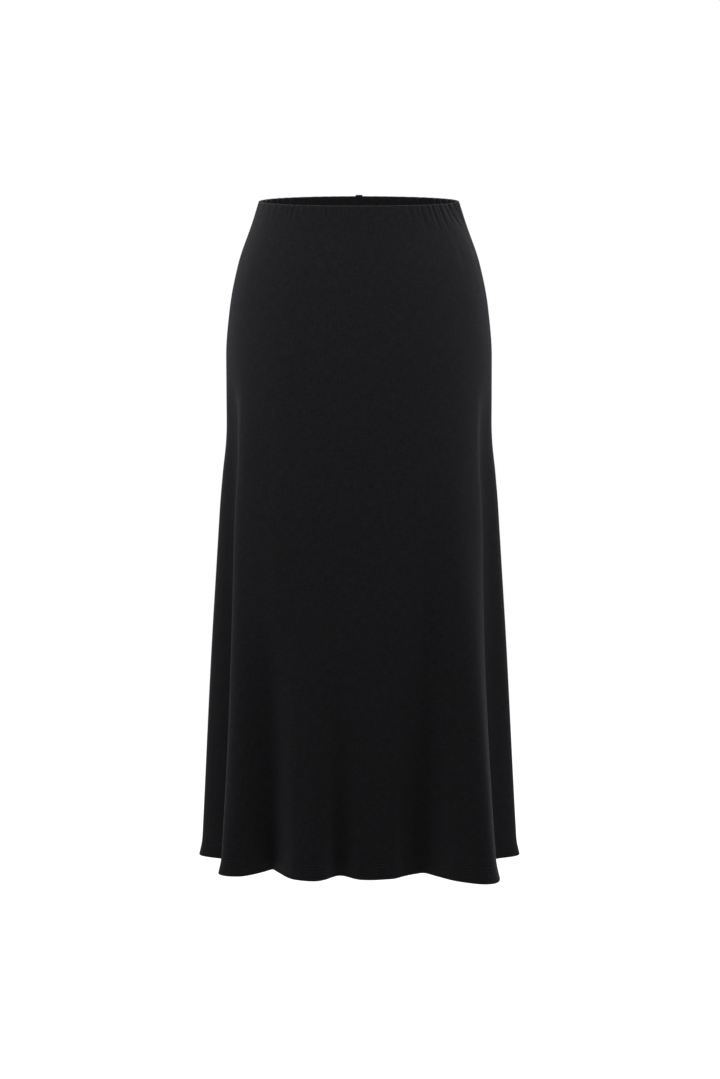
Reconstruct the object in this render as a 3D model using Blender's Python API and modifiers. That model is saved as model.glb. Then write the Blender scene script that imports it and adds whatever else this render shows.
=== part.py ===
"""A-line skirt in stretch jersey, hanging as it is worn, with no wearer in it.

The skirt is cut as a front and a back panel, joined at the sides. The top edge of each panel is turned
inside over an elastic and stitched as a casing, which gathers the waist, and the hem is turned up inside.
Metres, +Z up. The origin is the middle of the waist, level with its top edge, and the front faces -Y.

A place on the cloth is a drop below the waist and a turn around the body: 0 at the centre front, 0.25 at
the side on +X, -0.25 at the side on -X, and 0.5 at the centre back.
"""

import math
from collections import namedtuple

import bpy
import numpy as np

LENGTH = 0.869
CLOTH = 0.0012
GAP = 0.0003
CASING_DEPTH = 0.030
HEM_DEPTH = 0.020
GATHERS_ROUND_WAIST = 52
COLUMNS_PER_GATHER = 4
GATHERS_FADE_BY = 0.042
GATHER_WANDER = 0.003
GATHER_UNEVENNESS = 0.30
JOIN_RISE = 0.0016
JOIN_COLUMNS = 1
OUTLINE_STEPS = 1440
SEAMS = (-0.25, 0.25, 0.75)

CLOTH_COLOUR = (0.0105, 0.0105, 0.0120, 1.0)
INSIDE_COLOUR = (0.0080, 0.0080, 0.0095, 1.0)

Section = namedtuple("Section", "drop half_width front_depth back_depth squareness")
SECTIONS = [
    Section(0.000, 0.1280, 0.098, 0.100, 2.10),
    Section(0.030, 0.1380, 0.102, 0.106, 2.10),
    Section(0.080, 0.1555, 0.109, 0.119, 2.15),
    Section(0.140, 0.1675, 0.115, 0.131, 2.20),
    Section(0.200, 0.1725, 0.118, 0.136, 2.35),
    Section(0.260, 0.1725, 0.118, 0.135, 2.45),
    Section(0.320, 0.1722, 0.118, 0.132, 2.50),
    Section(0.400, 0.1738, 0.119, 0.130, 2.60),
    Section(0.520, 0.1740, 0.121, 0.130, 2.55),
    Section(0.700, 0.1725, 0.124, 0.132, 2.60),
    Section(LENGTH, 0.1705, 0.126, 0.134, 2.70),
]

# A fold moves the cloth sideways along X and forwards along -Y, by this much at the hem.
Fold = namedtuple("Fold", "name around half_width sideways forwards starts half_grown")
FOLDS = [
    Fold("left_flute", -0.230, 0.046, -0.0418, 0.006, 0.27, 0.575),
    Fold("right_flute", 0.230, 0.046, 0.0425, 0.006, 0.27, 0.575),
    Fold("left_hollow", -0.196, 0.030, 0.0175, 0.000, 0.20, 0.30),
    Fold("right_hollow", 0.198, 0.030, -0.0175, 0.000, 0.21, 0.31),
    Fold("front_left_ridge", -0.162, 0.046, -0.0312, 0.028, 0.22, 0.57),
    Fold("front_right_ridge", 0.150, 0.065, 0.0368, 0.051, 0.22, 0.63),
    Fold("front_left_valley", -0.115, 0.031, 0.0, -0.0238, 0.50, 0.72),
    Fold("front_left_lobe", -0.066, 0.046, 0.0, 0.012, 0.50, 0.72),
    Fold("front_mid_valley", -0.026, 0.030, 0.0, -0.015, 0.55, 0.74),
    Fold("front_mid_lobe", 0.016, 0.035, 0.0, 0.004, 0.55, 0.74),
    Fold("front_right_valley", 0.079, 0.039, 0.0, -0.0168, 0.45, 0.70),
    Fold("back_left_hollow", -0.286, 0.034, 0.0130, 0.002, 0.26, 0.50),
    Fold("back_left_ridge", -0.336, 0.048, -0.0240, -0.020, 0.27, 0.62),
    Fold("back_left_valley", -0.388, 0.036, 0.0, 0.022, 0.46, 0.70),
    Fold("back_left_lobe", -0.432, 0.040, 0.0, -0.014, 0.50, 0.72),
    Fold("back_mid_valley", -0.482, 0.034, 0.0, 0.018, 0.42, 0.68),
    Fold("back_mid_lobe", 0.460, 0.040, 0.0, -0.012, 0.48, 0.72),
    Fold("back_right_valley", 0.402, 0.040, 0.0, 0.024, 0.40, 0.68),
    Fold("back_right_ridge", 0.342, 0.052, 0.0260, -0.026, 0.27, 0.64),
    Fold("back_right_hollow", 0.288, 0.034, -0.0120, 0.002, 0.28, 0.50),
]

# The height of a gather is half of its wave, from its middle line to its ridge.
GatherZone = namedtuple("GatherZone", "around height")
GATHER_ZONES = [
    GatherZone(-0.50, 0.0009),
    GatherZone(-0.30, 0.0009),
    GatherZone(-0.24, 0.0006),
    GatherZone(-0.17, 0.0003),
    GatherZone(-0.10, 0.0003),
    GatherZone(0.00, 0.0002),
    GatherZone(0.07, 0.0003),
    GatherZone(0.13, 0.0008),
    GatherZone(0.19, 0.0011),
    GatherZone(0.25, 0.0010),
    GatherZone(0.50, 0.0009),
]

# The rows of cloth by their drop. Those with gathers have a column for each quarter of a gather, and the
# rows below have half as many.
GATHERED_ROWS = [0.0, 0.010, 0.020, CASING_DEPTH]
BODY_ROWS = [0.047, 0.080, 0.120, 0.165, 0.215, 0.270, 0.330, 0.400, 0.480, 0.565, 0.655, 0.750]
HEM_ROWS = [LENGTH - HEM_DEPTH, LENGTH]


def smooth_step(share):
    """0 below 0, 1 above 1, and a soft rise between."""
    share = np.clip(share, 0.0, 1.0)
    return share * share * (3.0 - 2.0 * share)


def nearest_way_round(turns):
    """The same places with each turn between -0.5 and 0.5."""
    return (turns + 0.5) % 1.0 - 0.5


def smooth_through(places, values, at):
    """The value at one place on a curve through the table that never overshoots its rows."""
    gaps = np.diff(places)
    slopes = np.diff(values) / gaps
    tangents = np.zeros(len(places))
    tangents[0] = slopes[0]
    tangents[-1] = slopes[-1]
    for i in range(1, len(places) - 1):
        if slopes[i - 1] * slopes[i] > 0.0:
            before = 2.0 * gaps[i] + gaps[i - 1]
            after = gaps[i] + 2.0 * gaps[i - 1]
            tangents[i] = (before + after) / (before / slopes[i - 1] + after / slopes[i])
    row = int(np.clip(np.searchsorted(places, at) - 1, 0, len(places) - 2))
    share = (at - places[row]) / gaps[row]
    ends = values[row] * (1.0 + 2.0 * share) * (1.0 - share) ** 2
    ends += values[row + 1] * share**2 * (3.0 - 2.0 * share)
    bends = tangents[row] * share * (1.0 - share) ** 2
    bends += tangents[row + 1] * share**2 * (share - 1.0)
    return ends + gaps[row] * bends


def section_at(drop):
    """The section of the skirt at a drop, from the table of sections."""
    table = np.array(SECTIONS)
    values = [smooth_through(table[:, 0], table[:, column], drop) for column in range(1, 5)]
    return Section(drop, *values)


def smooth_outline(drop, turns):
    """Points round one section before it is folded, evenly spaced along each quarter."""
    section = section_at(drop)
    angle = np.linspace(-math.pi, math.pi, OUTLINE_STEPS + 1)
    across = np.sin(angle)
    along = np.cos(angle)
    power = 2.0 / section.squareness
    depth = np.where(along > 0.0, section.front_depth, section.back_depth)
    x = section.half_width * np.sign(across) * np.abs(across) ** power
    y = -depth * np.sign(along) * np.abs(along) ** power
    walked = np.concatenate([[0.0], np.cumsum(np.hypot(np.diff(x), np.diff(y)))])
    quarter = OUTLINE_STEPS // 4
    marks = walked[[0, quarter, 3 * quarter, OUTLINE_STEPS]]
    places = np.interp(walked, marks, [-0.5, -0.25, 0.25, 0.5])
    turns = nearest_way_round(turns)
    return np.interp(turns, places, x), np.interp(turns, places, y)


def fold_growth(fold, drop):
    """The share of its size at the hem that a fold has at a drop."""
    if drop <= fold.starts:
        return 0.0
    share = (drop - fold.starts) / (LENGTH - fold.starts)
    half = (fold.half_grown - fold.starts) / (LENGTH - fold.starts)
    power = math.log(0.5) / math.log(half)
    return share**power * float(smooth_step((drop - fold.starts) / 0.08))


def gather_height(drop, turns):
    """How far the gathers push the cloth outwards, with a hollow at each side seam."""
    if drop >= GATHERS_FADE_BY:
        return np.zeros_like(turns)
    zones = np.array(GATHER_ZONES)
    height = np.interp(nearest_way_round(turns), zones[:, 0], zones[:, 1])
    uneven = 1.0 + GATHER_UNEVENNESS * np.sin(2.0 * math.pi * 11.0 * turns)
    wave = -np.cos(2.0 * math.pi * GATHERS_ROUND_WAIST * turns)
    fade = 1.0 - smooth_step((drop - 0.004) / (GATHERS_FADE_BY - 0.004))
    return height * uneven * wave * fade


def cloth_points(drop, turns):
    """Points of the cloth's outer face at one drop."""
    wander = GATHER_WANDER * np.sin(20.0 * math.pi * turns)
    places = turns + wander
    x, y = smooth_outline(drop, places)
    ahead_x, ahead_y = smooth_outline(drop, places + 0.004)
    behind_x, behind_y = smooth_outline(drop, places - 0.004)
    run = np.hypot(ahead_x - behind_x, ahead_y - behind_y)
    height = gather_height(drop, turns)
    x = x + height * (ahead_y - behind_y) / run
    y = y - height * (ahead_x - behind_x) / run
    for fold in FOLDS:
        away = np.abs(nearest_way_round(places - fold.around))
        lobe = np.where(away < fold.half_width, np.cos(0.5 * math.pi * away / fold.half_width) ** 2, 0.0)
        grown = fold_growth(fold, drop)
        x = x + fold.sideways * grown * lobe
        y = y - fold.forwards * grown * lobe
    return np.stack([x, y, np.full_like(x, -drop)], axis=1)


def seam_margin(drop, seam):
    """The turn that keeps a panel's edge half a gap from a side seam."""
    step = 0.0005
    ends = cloth_points(drop, np.array([seam - step, seam + step]))
    speed = np.linalg.norm(ends[1] - ends[0]) / (2.0 * step)
    return 0.5 * GAP / speed


def panel_row(drop, first_seam, last_seam, columns):
    """One row of a panel's points, from one side seam to the other."""
    start = first_seam + seam_margin(drop, first_seam)
    end = last_seam - seam_margin(drop, last_seam)
    return cloth_points(drop, np.linspace(start, end, columns + 1))


def cells_between(upper, lower):
    """Triangles between two rows of point numbers, the lower with as many cells or half as many."""
    faces = []
    if len(upper) == len(lower):
        for i in range(len(upper) - 1):
            faces.append((upper[i], lower[i], lower[i + 1]))
            faces.append((upper[i], lower[i + 1], upper[i + 1]))
        return faces
    for i in range(len(lower) - 1):
        faces.append((upper[2 * i], lower[i], upper[2 * i + 1]))
        faces.append((upper[2 * i + 1], lower[i], lower[i + 1]))
        faces.append((upper[2 * i + 1], lower[i + 1], upper[2 * i + 2]))
    return faces


def cloth_mesh(name, rows):
    """An open surface through rows of points, top row first, facing outwards."""
    numbers = []
    first = 0
    for row in rows:
        numbers.append(range(first, first + len(row)))
        first += len(row)
    faces = []
    for upper, lower in zip(numbers, numbers[1:]):
        faces.extend(cells_between(upper, lower))
    mesh = bpy.data.meshes.new(name)
    mesh.from_pydata(np.concatenate(rows).tolist(), [], faces)
    mesh.update()
    return mesh


def rows_moved_in(mesh, rows, distance):
    """The same rows of a mesh's points, moved towards its inside along their normals."""
    count = len(mesh.vertices)
    places = np.zeros(count * 3)
    normals = np.zeros(count * 3)
    mesh.vertices.foreach_get("co", places)
    mesh.vertices.foreach_get("normal", normals)
    moved = places.reshape(-1, 3) - distance * normals.reshape(-1, 3)
    parts = []
    first = 0
    for row in rows:
        parts.append(moved[first : first + len(row)])
        first += len(row)
    return parts


def cloth_material(name, colour, roughness):
    """Matt jersey, with a faint sheen."""
    material = bpy.data.materials.new(name)
    material.use_nodes = True
    shader = material.node_tree.nodes["Principled BSDF"]
    shader.inputs["Base Color"].default_value = colour
    shader.inputs["Roughness"].default_value = roughness
    shader.inputs["Metallic"].default_value = 0.0
    shader.inputs["Sheen Weight"].default_value = 0.2
    return material


def cloth_object(mesh, colour, roughness, parent, collection):
    """A wall of cloth that grows inwards from its outer face."""
    piece = bpy.data.objects.new(mesh.name, mesh)
    collection.objects.link(piece)
    piece.parent = parent
    mesh.materials.append(cloth_material(mesh.name + "_jersey", colour, roughness))
    mesh.shade_smooth()
    wall = piece.modifiers.new("wall", "SOLIDIFY")
    wall.thickness = CLOTH
    wall.offset = -1.0
    wall.use_even_offset = True
    wall.use_rim = True
    return piece


def build_panel(side, first_seam, last_seam, parent, collection):
    """A panel with its casing and its turned-up hem, which lie inside it. Returns the casing's rows."""
    fine = GATHERS_ROUND_WAIST * COLUMNS_PER_GATHER // 2
    coarse = fine // 2
    rows = [panel_row(drop, first_seam, last_seam, fine) for drop in GATHERED_ROWS]
    rows += [panel_row(drop, first_seam, last_seam, coarse) for drop in BODY_ROWS + HEM_ROWS]
    panel_mesh = cloth_mesh(side + "_panel", rows)
    inside = rows_moved_in(panel_mesh, rows, CLOTH + GAP)
    casing_mesh = cloth_mesh(side + "_casing", inside[: len(GATHERED_ROWS)])
    hem_mesh = cloth_mesh(side + "_hem_turn_up", inside[-len(HEM_ROWS) :])
    cloth_object(panel_mesh, CLOTH_COLOUR, 0.85, parent, collection)
    cloth_object(casing_mesh, INSIDE_COLOUR, 0.88, parent, collection)
    cloth_object(hem_mesh, INSIDE_COLOUR, 0.88, parent, collection)
    return casing_mesh, inside[: len(GATHERED_ROWS)]


def build_join(casing_mesh, casing_rows, parent, collection):
    """The folded end of the casing's join, on its inside at the centre back and just above its edge."""
    rows = rows_moved_in(casing_mesh, casing_rows, CLOTH + GAP)
    middle = (len(rows[0]) - 1) // 2
    narrow = [row[middle - JOIN_COLUMNS : middle + JOIN_COLUMNS + 1].copy() for row in rows]
    narrow[0][:, 2] += JOIN_RISE
    cloth_object(cloth_mesh("casing_join", narrow), INSIDE_COLOUR, 0.88, parent, collection)


def main():
    for old in list(bpy.data.objects):
        bpy.data.objects.remove(old, do_unlink=True)
    collection = bpy.data.collections.new("a_line_skirt")
    bpy.context.scene.collection.children.link(collection)
    waist = bpy.data.objects.new("waist_centre", None)
    collection.objects.link(waist)
    build_panel("front", SEAMS[0], SEAMS[1], waist, collection)
    casing_mesh, casing_rows = build_panel("back", SEAMS[1], SEAMS[2], waist, collection)
    build_join(casing_mesh, casing_rows, waist, collection)


main()
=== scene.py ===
"""Dresses the frame of an A-line jersey skirt with its cloth, seams, stitching and studio.

A place on the cloth is a drop below the waist and a turn around the body: 0 at the centre front, 0.25 at
the side on +X, -0.25 at the side on -X, and 0.5 at the centre back. The front faces -Y.
"""

import math
from collections import namedtuple

import bpy
import numpy as np
from bpy.props import FloatProperty, FloatVectorProperty, IntProperty, PointerProperty
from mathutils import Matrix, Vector


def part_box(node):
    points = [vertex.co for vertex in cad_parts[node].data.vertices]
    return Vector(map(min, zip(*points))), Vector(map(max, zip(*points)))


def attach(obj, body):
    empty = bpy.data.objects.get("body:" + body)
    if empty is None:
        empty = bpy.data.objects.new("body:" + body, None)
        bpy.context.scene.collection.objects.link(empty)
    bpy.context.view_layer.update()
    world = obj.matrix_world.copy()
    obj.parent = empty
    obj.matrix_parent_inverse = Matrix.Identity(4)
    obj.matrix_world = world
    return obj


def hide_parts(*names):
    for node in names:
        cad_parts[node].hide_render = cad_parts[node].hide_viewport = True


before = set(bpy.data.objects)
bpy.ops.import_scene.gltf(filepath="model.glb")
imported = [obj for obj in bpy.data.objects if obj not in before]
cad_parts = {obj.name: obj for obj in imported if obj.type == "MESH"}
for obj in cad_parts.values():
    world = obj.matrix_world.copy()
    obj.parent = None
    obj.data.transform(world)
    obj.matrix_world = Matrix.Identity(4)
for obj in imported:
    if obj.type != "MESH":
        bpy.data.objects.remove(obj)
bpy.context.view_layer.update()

bl_info = {
    "name": "A-line Jersey Skirt",
    "version": (1, 0, 0),
    "blender": (4, 5, 0),
    "location": "3D View > Sidebar > Skirt",
    "description": "Builds the cloth, seams, stitching and studio of a gathered A-line skirt",
    "category": "Object",
}

LENGTH = -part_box("front_panel")[0][2]
CASING_DEPTH = -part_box("front_casing")[0][2]
HEM_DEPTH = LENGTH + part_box("front_hem_turn_up")[1][2]
OUTLINE_STEPS = 7200
PANELS = {"front": (-0.25, 0.25), "back": (0.25, 0.75)}
SIDES = {"right": 0.25, "left": 0.75}
# The turn of the front's sharpest valley, where the hem isn't kicked out.
SHARPEST_VALLEY = -0.115
# Depth below the waist, and height above the hem, where the cloth's rows lie closer together.
GATHERED_ROWS = 0.052
HEM_ROWS = 0.030
JOIN_HALF_WIDTH = 0.0032

Section = namedtuple("Section", "drop half_width front_depth back_depth squareness")
SECTIONS = [
    Section(0.000, 0.1280, 0.098, 0.100, 2.10),
    Section(0.030, 0.1380, 0.102, 0.106, 2.10),
    Section(0.080, 0.1555, 0.109, 0.119, 2.15),
    Section(0.140, 0.1675, 0.115, 0.131, 2.20),
    Section(0.200, 0.1725, 0.118, 0.136, 2.35),
    Section(0.260, 0.1725, 0.118, 0.135, 2.45),
    Section(0.320, 0.1722, 0.118, 0.132, 2.50),
    Section(0.400, 0.1738, 0.119, 0.130, 2.60),
    Section(0.520, 0.1740, 0.121, 0.130, 2.55),
    Section(0.700, 0.1725, 0.124, 0.132, 2.60),
    Section(0.869, 0.1705, 0.126, 0.134, 2.70),
]

# A fold moves the cloth sideways along X and forwards along -Y, by this much at the hem.
Fold = namedtuple("Fold", "name around half_width sideways forwards starts half_grown")
FOLDS = [
    Fold("left_flute", -0.230, 0.046, -0.0418, 0.006, 0.27, 0.575),
    Fold("right_flute", 0.230, 0.046, 0.0425, 0.006, 0.27, 0.575),
    Fold("left_hollow", -0.196, 0.030, 0.0175, 0.000, 0.20, 0.30),
    Fold("right_hollow", 0.198, 0.030, -0.0175, 0.000, 0.21, 0.31),
    Fold("front_left_ridge", -0.162, 0.046, -0.0312, 0.028, 0.22, 0.57),
    Fold("front_right_ridge", 0.150, 0.065, 0.0368, 0.051, 0.22, 0.63),
    Fold("front_left_valley", -0.115, 0.031, 0.0, -0.0238, 0.50, 0.72),
    Fold("front_left_lobe", -0.066, 0.046, 0.0, 0.012, 0.50, 0.72),
    Fold("front_mid_valley", -0.026, 0.030, 0.0, -0.015, 0.55, 0.74),
    Fold("front_mid_lobe", 0.016, 0.035, 0.0, 0.004, 0.55, 0.74),
    Fold("front_right_valley", 0.079, 0.039, 0.0, -0.0168, 0.45, 0.70),
    Fold("back_left_hollow", -0.286, 0.034, 0.0130, 0.002, 0.26, 0.50),
    Fold("back_left_ridge", -0.336, 0.048, -0.0240, -0.020, 0.27, 0.62),
    Fold("back_left_valley", -0.388, 0.036, 0.0, 0.022, 0.46, 0.70),
    Fold("back_left_lobe", -0.432, 0.040, 0.0, -0.014, 0.50, 0.72),
    Fold("back_mid_valley", -0.482, 0.034, 0.0, 0.018, 0.42, 0.68),
    Fold("back_mid_lobe", 0.460, 0.040, 0.0, -0.012, 0.48, 0.72),
    Fold("back_right_valley", 0.402, 0.040, 0.0, 0.024, 0.40, 0.68),
    Fold("back_right_ridge", 0.342, 0.052, 0.0260, -0.026, 0.27, 0.64),
    Fold("back_right_hollow", 0.288, 0.034, -0.0120, 0.002, 0.28, 0.50),
]

# Gathers that the elastic makes all round the waist: the depth of a hollow and how far down it fades out.
GatherZone = namedtuple("GatherZone", "around depth reach")
GATHER_ZONES = [
    GatherZone(-0.50, 0.0020, 0.040),
    GatherZone(-0.38, 0.0022, 0.046),
    GatherZone(-0.31, 0.0017, 0.038),
    GatherZone(-0.25, 0.0009, 0.026),
    GatherZone(-0.20, 0.0004, 0.020),
    GatherZone(-0.10, 0.0003, 0.018),
    GatherZone(0.05, 0.0003, 0.018),
    GatherZone(0.15, 0.0005, 0.022),
    GatherZone(0.25, 0.0009, 0.030),
    GatherZone(0.32, 0.0018, 0.042),
    GatherZone(0.44, 0.0023, 0.044),
    GatherZone(0.50, 0.0020, 0.040),
]

# A crease is a soft trough where its height is below zero, and a ridge where it is above.
# One that starts above the waist's edge is at its deepest near that edge.
Crease = namedtuple("Crease", "around leans from_drop to_drop half_width height")
CREASES = [
    Crease(0.0893, 0.004, -0.018, 0.028, 0.0052, -0.0014),
    Crease(0.1010, 0.004, -0.016, 0.022, 0.0046, -0.0010),
    Crease(0.1084, 0.005, -0.020, 0.032, 0.0050, -0.0015),
    Crease(0.1205, 0.006, -0.018, 0.026, 0.0046, -0.0012),
    Crease(0.1317, 0.009, -0.022, 0.036, 0.0052, -0.0017),
    Crease(0.1420, 0.010, -0.018, 0.028, 0.0046, -0.0011),
    Crease(0.1504, 0.015, -0.026, 0.042, 0.0056, -0.0015),
    Crease(0.1650, 0.015, -0.020, 0.030, 0.0050, -0.0010),
    Crease(0.1785, 0.023, -0.024, 0.038, 0.0058, -0.0021),
    Crease(0.1890, 0.019, -0.018, 0.032, 0.0048, -0.0011),
    Crease(0.1963, 0.022, -0.022, 0.036, 0.0054, -0.0019),
    Crease(0.2105, 0.016, -0.024, 0.044, 0.0052, -0.0015),
    Crease(0.2260, 0.012, -0.020, 0.034, 0.0050, -0.0012),
    Crease(0.2400, 0.004, -0.020, 0.030, 0.0048, -0.0010),
    Crease(-0.0565, 0.001, -0.012, 0.020, 0.0042, -0.0009),
    Crease(-0.0650, -0.001, -0.010, 0.016, 0.0038, -0.0007),
    Crease(-0.0940, -0.001, -0.010, 0.014, 0.0040, -0.0006),
    Crease(-0.1040, -0.003, -0.012, 0.018, 0.0042, -0.0009),
    Crease(-0.1126, -0.004, -0.014, 0.021, 0.0044, -0.0011),
    Crease(-0.1219, -0.003, -0.013, 0.018, 0.0042, -0.0009),
    Crease(-0.2060, -0.006, -0.012, 0.020, 0.0050, -0.0004),
    Crease(-0.2280, -0.006, -0.014, 0.026, 0.0052, -0.0006),
    Crease(-0.2410, -0.003, -0.016, 0.024, 0.0048, -0.0006),
    Crease(0.1700, 0.010, 0.020, 0.110, 0.0110, -0.0005),
    Crease(0.1960, 0.010, 0.018, 0.140, 0.0120, 0.0005),
    Crease(-0.0294, 0.000, 0.440, 0.960, 0.0170, -0.0007),
    Crease(0.0440, 0.000, 0.420, 0.900, 0.0120, 0.0008),
    Crease(-0.1300, 0.000, 0.540, 0.980, 0.0120, -0.0011),
    Crease(-0.0920, 0.000, 0.480, 1.080, 0.0200, 0.0018),
    Crease(-0.1150, 0.000, 0.480, 1.120, 0.0300, 0.0044),
    Crease(-0.1390, 0.000, 0.500, 1.120, 0.0240, 0.0032),
    Crease(0.1290, 0.000, 0.500, 1.120, 0.0300, 0.0032),
    Crease(-0.1180, 0.000, 0.270, 0.650, 0.0360, 0.0036),
    Crease(0.1180, 0.000, 0.280, 0.660, 0.0360, 0.0030),
    Crease(-0.1740, 0.000, 0.440, 0.900, 0.0280, -0.0018),
    Crease(0.1720, 0.000, 0.420, 0.960, 0.0300, -0.0026),
    Crease(-0.0500, -0.002, 0.640, 0.960, 0.0090, -0.0008),
    Crease(0.0590, 0.000, 0.600, 1.040, 0.0150, -0.0014),
    Crease(0.0895, 0.000, 0.440, 1.060, 0.0120, -0.0028),
    Crease(0.1120, 0.000, 0.520, 0.960, 0.0110, 0.0012),
    Crease(-0.2050, 0.002, 0.300, 0.760, 0.0100, -0.0012),
    Crease(0.2080, 0.002, 0.320, 0.780, 0.0100, -0.0012),
    Crease(0.2720, 0.002, 0.360, 0.860, 0.0110, 0.0012),
    Crease(-0.2680, -0.004, 0.330, 0.820, 0.0100, -0.0012),
    Crease(0.3100, 0.006, 0.010, 0.130, 0.0090, -0.0009),
    Crease(0.3620, 0.004, 0.400, 0.900, 0.0130, -0.0013),
    Crease(0.3860, -0.010, 0.012, 0.110, 0.0080, 0.0008),
    Crease(0.4280, 0.004, 0.300, 0.720, 0.0120, 0.0011),
    Crease(0.4760, -0.006, 0.240, 0.600, 0.0130, -0.0012),
    Crease(0.4860, 0.004, 0.520, 0.940, 0.0100, 0.0010),
    Crease(-0.4620, 0.006, 0.012, 0.140, 0.0085, -0.0009),
    Crease(-0.4520, -0.004, 0.380, 0.860, 0.0120, 0.0012),
    Crease(-0.4080, 0.006, 0.320, 0.700, 0.0110, -0.0012),
    Crease(-0.3680, -0.002, 0.460, 0.940, 0.0110, 0.0011),
    Crease(-0.3400, 0.010, 0.010, 0.120, 0.0080, -0.0008),
    Crease(-0.3100, -0.004, 0.280, 0.700, 0.0110, -0.0012),
]


def smooth_step(share):
    """0 below 0, 1 above 1, and a soft rise between."""
    share = np.clip(share, 0.0, 1.0)
    return share * share * (3.0 - 2.0 * share)


def nearest_way_round(turns):
    """The same places with each turn between -0.5 and 0.5."""
    return (turns + 0.5) % 1.0 - 0.5


def soft_bump(away, half_width):
    """1 in the middle, falling softly to 0 at half_width."""
    return np.where(away < half_width, np.cos(0.5 * math.pi * away / half_width) ** 2, 0.0)


def smooth_through(places, values, at):
    """The value at one place on a curve through the table that never overshoots its rows."""
    gaps = np.diff(places)
    slopes = np.diff(values) / gaps
    tangents = np.zeros(len(places))
    tangents[0] = slopes[0]
    tangents[-1] = slopes[-1]
    for i in range(1, len(places) - 1):
        if slopes[i - 1] * slopes[i] > 0.0:
            before = 2.0 * gaps[i] + gaps[i - 1]
            after = gaps[i] + 2.0 * gaps[i - 1]
            tangents[i] = (before + after) / (before / slopes[i - 1] + after / slopes[i])
    row = int(np.clip(np.searchsorted(places, at) - 1, 0, len(places) - 2))
    share = (at - places[row]) / gaps[row]
    ends = values[row] * (1.0 + 2.0 * share) * (1.0 - share) ** 2
    ends += values[row + 1] * share**2 * (3.0 - 2.0 * share)
    bends = tangents[row] * share * (1.0 - share) ** 2
    bends += tangents[row + 1] * share**2 * (share - 1.0)
    return ends + gaps[row] * bends


def smooth_outline(drop, turns):
    """Points round one section before it is folded, evenly spaced along each quarter."""
    table = np.array(SECTIONS)
    values = [smooth_through(table[:, 0], table[:, column], drop) for column in range(1, 5)]
    section = Section(drop, *values)
    angle = np.linspace(-math.pi, math.pi, OUTLINE_STEPS + 1)
    across = np.sin(angle)
    along = np.cos(angle)
    power = 2.0 / section.squareness
    depth = np.where(along > 0.0, section.front_depth, section.back_depth)
    x = section.half_width * np.sign(across) * np.abs(across) ** power
    y = -depth * np.sign(along) * np.abs(along) ** power
    walked = np.concatenate([[0.0], np.cumsum(np.hypot(np.diff(x), np.diff(y)))])
    quarter = OUTLINE_STEPS // 4
    marks = walked[[0, quarter, 3 * quarter, OUTLINE_STEPS]]
    places = np.interp(walked, marks, [-0.5, -0.25, 0.25, 0.5])
    turns = nearest_way_round(turns)
    return np.interp(turns, places, x), np.interp(turns, places, y)


def fold_growth(fold, drop):
    """The share of its size at the hem that a fold has at a drop."""
    if drop <= fold.starts:
        return 0.0
    share = (drop - fold.starts) / (LENGTH - fold.starts)
    half = (fold.half_grown - fold.starts) / (LENGTH - fold.starts)
    power = math.log(0.5) / math.log(half)
    return share**power * float(smooth_step((drop - fold.starts) / 0.08))


def gather_height(cut, drop, turns):
    """How far the gathers' narrow hollows reach in, with one at each side seam."""
    zones = np.array(GATHER_ZONES)
    around = nearest_way_round(turns)
    depth = np.interp(around, zones[:, 0], zones[:, 1])
    reach = np.interp(around, zones[:, 0], zones[:, 2])
    reach = reach * (1.0 + 0.25 * np.sin(2.0 * math.pi * 17.0 * turns + 1.0))
    uneven = 1.0 + cut.gather_unevenness * np.sin(2.0 * math.pi * 11.0 * turns)
    hollow = (0.5 + 0.5 * np.cos(2.0 * math.pi * cut.gathers * turns)) ** 2
    fade = 1.0 - smooth_step((drop - 0.003) / (reach - 0.003))
    return cut.gather_lift * depth * uneven * (0.4 - hollow) * fade


def relief(cut, drop, turns, walked):
    """Creases, the hem's outward kick, the pinch and puckers of its stitching, and slight unevenness.

    The kick leaves out the bottom of the sharpest valley, where the hem has no room for it.
    """
    height = np.zeros_like(turns)
    for crease in CREASES:
        share = (drop - crease.from_drop) / (crease.to_drop - crease.from_drop)
        if share <= 0.0 or share >= 1.0:
            continue
        top = max(crease.from_drop, 0.0)
        middle = crease.around + crease.leans * (drop - top) / (crease.to_drop - top)
        away = np.abs(nearest_way_round(turns - middle))
        along = math.sin(math.pi * share) ** 1.2
        height += cut.crease_lift * crease.height * along * soft_bump(away, crease.half_width)
    above_hem = LENGTH - drop
    kick = cut.hem_kick * float(np.clip(1.0 - above_hem / 0.026, 0.0, 1.0)) ** 1.6
    kick = kick * (1.0 - soft_bump(np.abs(nearest_way_round(turns - SHARPEST_VALLEY)), 0.012))
    stitched = float(soft_bump(abs(above_hem - cut.hem_stitch_height), 0.009))
    pinch = -0.0003 * stitched
    puckers = 0.00016 * stitched * np.sin(2.0 * math.pi * walked / 0.0135 + 2.0 * np.sin(walked / 0.05))
    drift = 0.00025 * np.sin(2.0 * math.pi * (7.0 * turns + 1.7 * drop))
    drift += 0.00020 * np.sin(2.0 * math.pi * (13.0 * turns - 2.9 * drop) + 0.8)
    drift *= float(smooth_step((drop - 0.05) / 0.15))
    return height + kick + pinch + puckers + drift


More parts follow.
